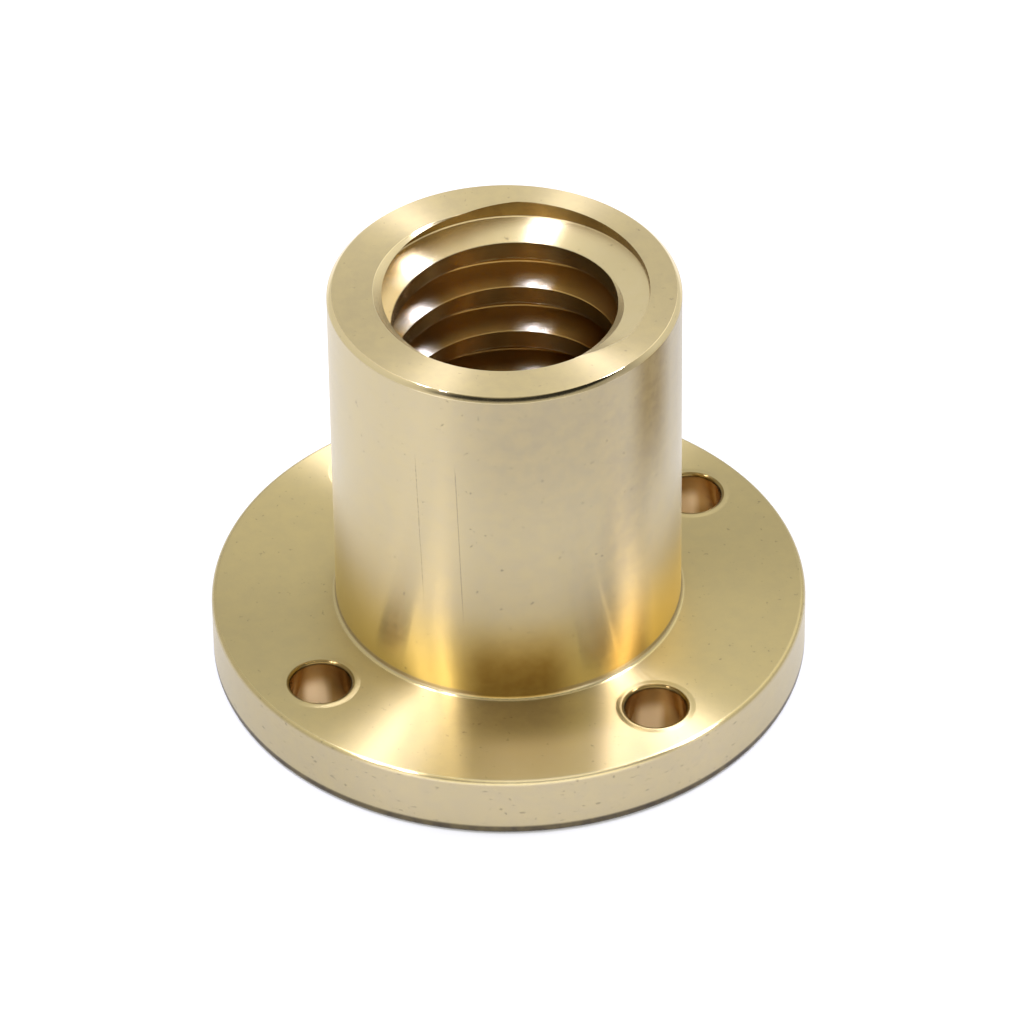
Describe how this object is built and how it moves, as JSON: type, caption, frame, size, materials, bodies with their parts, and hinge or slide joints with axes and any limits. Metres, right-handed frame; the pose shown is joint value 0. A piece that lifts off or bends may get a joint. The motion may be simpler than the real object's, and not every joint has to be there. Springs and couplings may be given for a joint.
{
  "type": "lead screw nut",
  "caption": "Round-flanged brass lead screw nut with a plain cylindrical body, a left-hand trapezoidal thread through it and bolt holes in the flange.",
  "frame": {"origin": "centre of the flange's underside, on the thread's axis", "axes": "+Z along the thread's axis, from the flange out to the body's free end; the bolt holes lie at 45 degrees between X and Y"},
  "size_m": [0.043, 0.043, 0.032],
  "materials": {
    "brass": "satin, turned"
  },
  "bodies": {
    "root": {"flanged_nut": "brass"}
  },
  "joints": []
}
